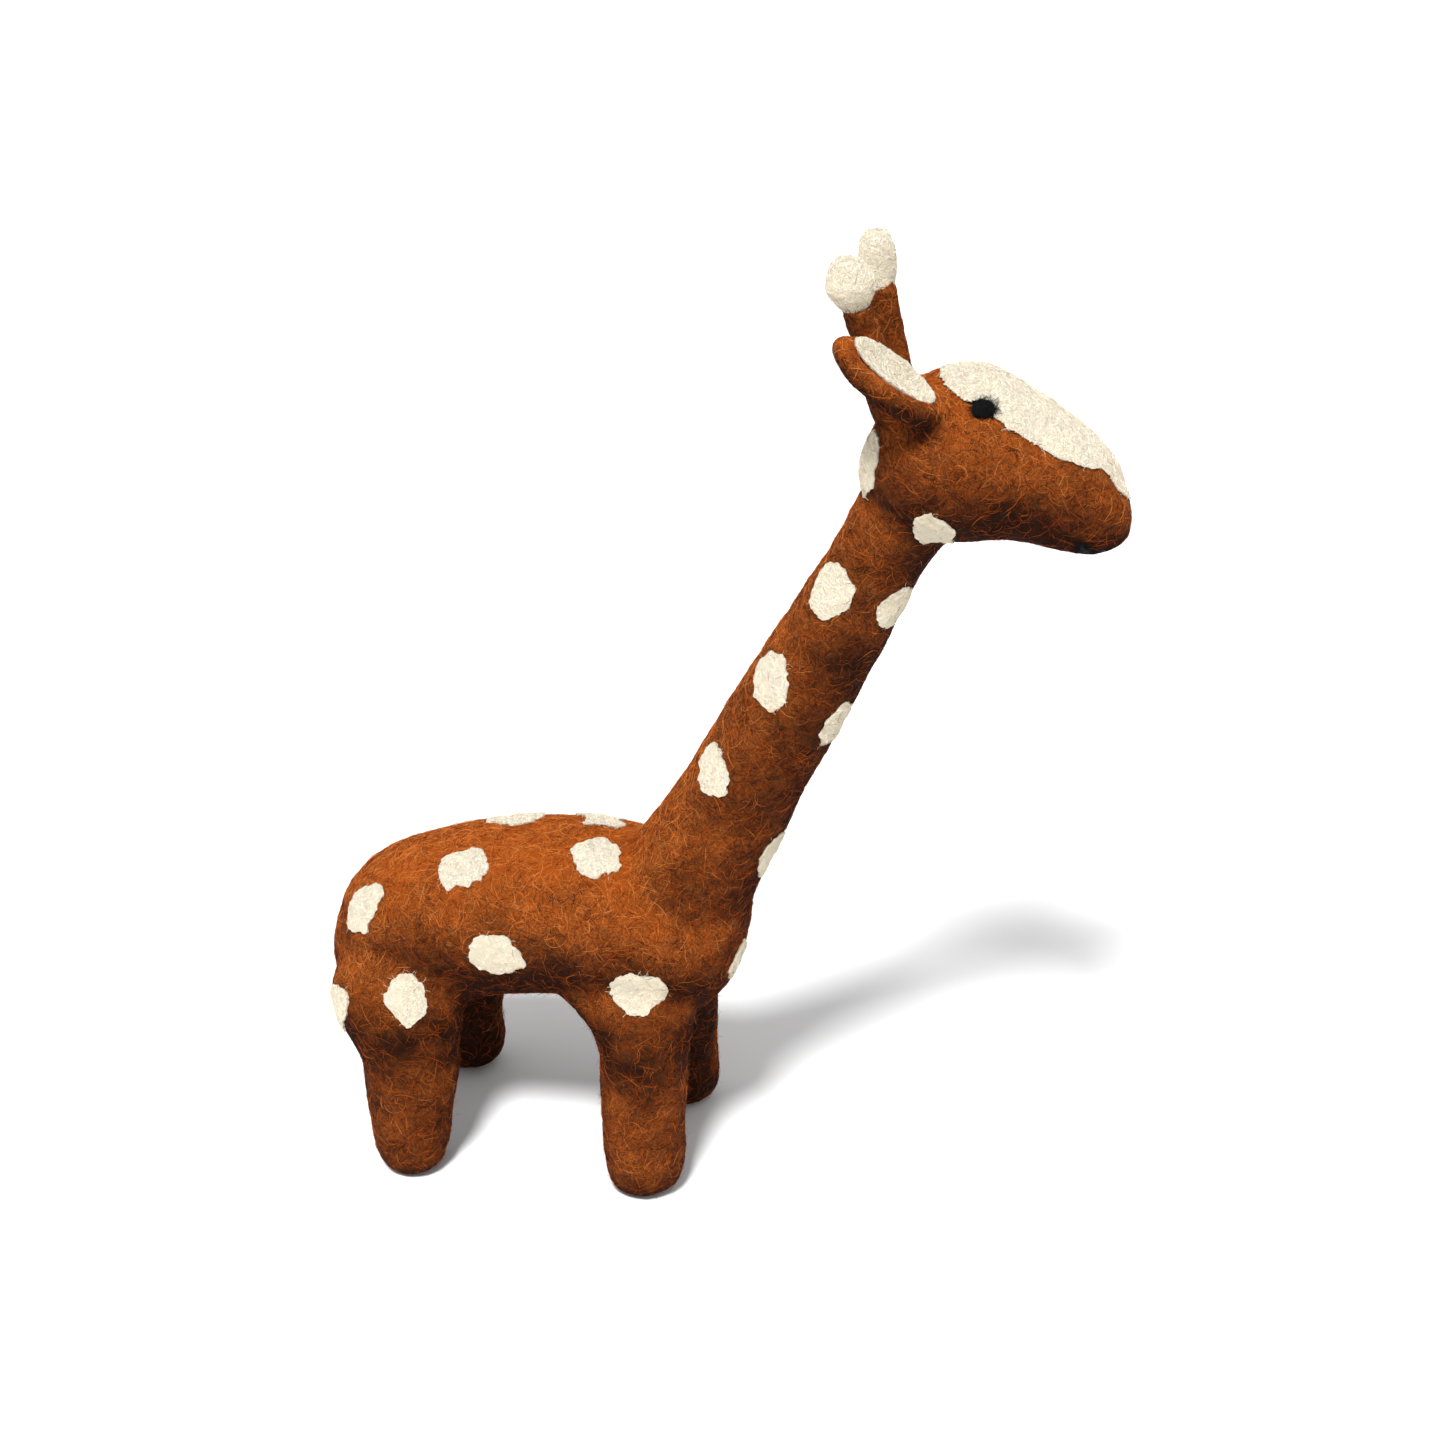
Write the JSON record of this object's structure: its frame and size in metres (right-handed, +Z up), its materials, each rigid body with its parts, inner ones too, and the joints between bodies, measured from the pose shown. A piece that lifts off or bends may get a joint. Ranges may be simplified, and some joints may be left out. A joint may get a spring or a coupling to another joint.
{
  "type": "felted wool giraffe figurine",
  "caption": "Needle-felted wool giraffe standing on stub legs, brown with cream spots, cream face, dished ears and knobbed horns.",
  "frame": {"origin": "centre of the bounding box's base, on the surface that the four soles stand on", "axes": "+X the way the giraffe faces, +Y its left side, +Z up"},
  "size_m": [0.2038, 0.0716, 0.2549],
  "materials": {
    "brown_wool": "needle-felted wool, rust brown",
    "cream_wool": "needle-felted wool, cream",
    "black_wool": "needle-felted wool, black",
    "core_wool": "firmly wound undyed core wool",
    "binding_tape": "wound crepe tape",
    "armature_wire": "galvanised wire"
  },
  "bodies": {
    "root": {"back_spot_front": "cream_wool", "back_spot_rear": "cream_wool", "chest_spot_lower": "cream_wool", "chest_spot_upper": "cream_wool", "ear_left": "brown_wool", "ear_lining_left": "cream_wool", "ear_lining_right": "cream_wool", "ear_right": "brown_wool", "eye_left": "black_wool", "eye_right": "black_wool", "face_patch": "cream_wool", "flank_spot_left_1": "cream_wool", "flank_spot_left_2": "cream_wool", "flank_spot_left_3": "cream_wool", "flank_spot_left_4": "cream_wool", "flank_spot_right_1": "cream_wool", "flank_spot_right_2": "cream_wool", "flank_spot_right_3": "cream_wool", "flank_spot_right_4": "cream_wool", "front_leg_left_core": "core_wool", "front_leg_left_cover": "brown_wool", "front_leg_right_core": "core_wool", "front_leg_right_cover": "brown_wool", "front_leg_wire": "armature_wire", "head_core": "core_wool", "head_cover": "brown_wool", "hind_leg_left_core": "core_wool", "hind_leg_left_cover": "brown_wool", "hind_leg_right_core": "core_wool", "hind_leg_right_cover": "brown_wool", "hind_leg_wire": "armature_wire", "hip_binding": "binding_tape", "horn_stem_left": "brown_wool", "horn_stem_right": "brown_wool", "horn_tip_left": "cream_wool", "horn_tip_right": "cream_wool", "mouth": "black_wool", "nape_spot": "cream_wool", "neck_core": "core_wool", "neck_cover": "brown_wool", "neck_spot_front_1": "cream_wool", "neck_spot_front_2": "cream_wool", "neck_spot_left_1": "cream_wool", "neck_spot_left_2": "cream_wool", "neck_spot_left_3": "cream_wool", "neck_spot_right_1": "cream_wool", "neck_spot_right_2": "cream_wool", "neck_spot_right_3": "cream_wool", "rump_spot_left": "cream_wool", "rump_spot_right": "cream_wool", "shoulder_binding": "binding_tape", "spine_wire": "armature_wire", "thigh_spot_left": "cream_wool", "thigh_spot_rear": "cream_wool", "thigh_spot_right": "cream_wool", "throat_spot_left": "cream_wool", "throat_spot_right": "cream_wool", "torso_core": "core_wool", "torso_cover": "brown_wool"}
  },
  "joints": []
}
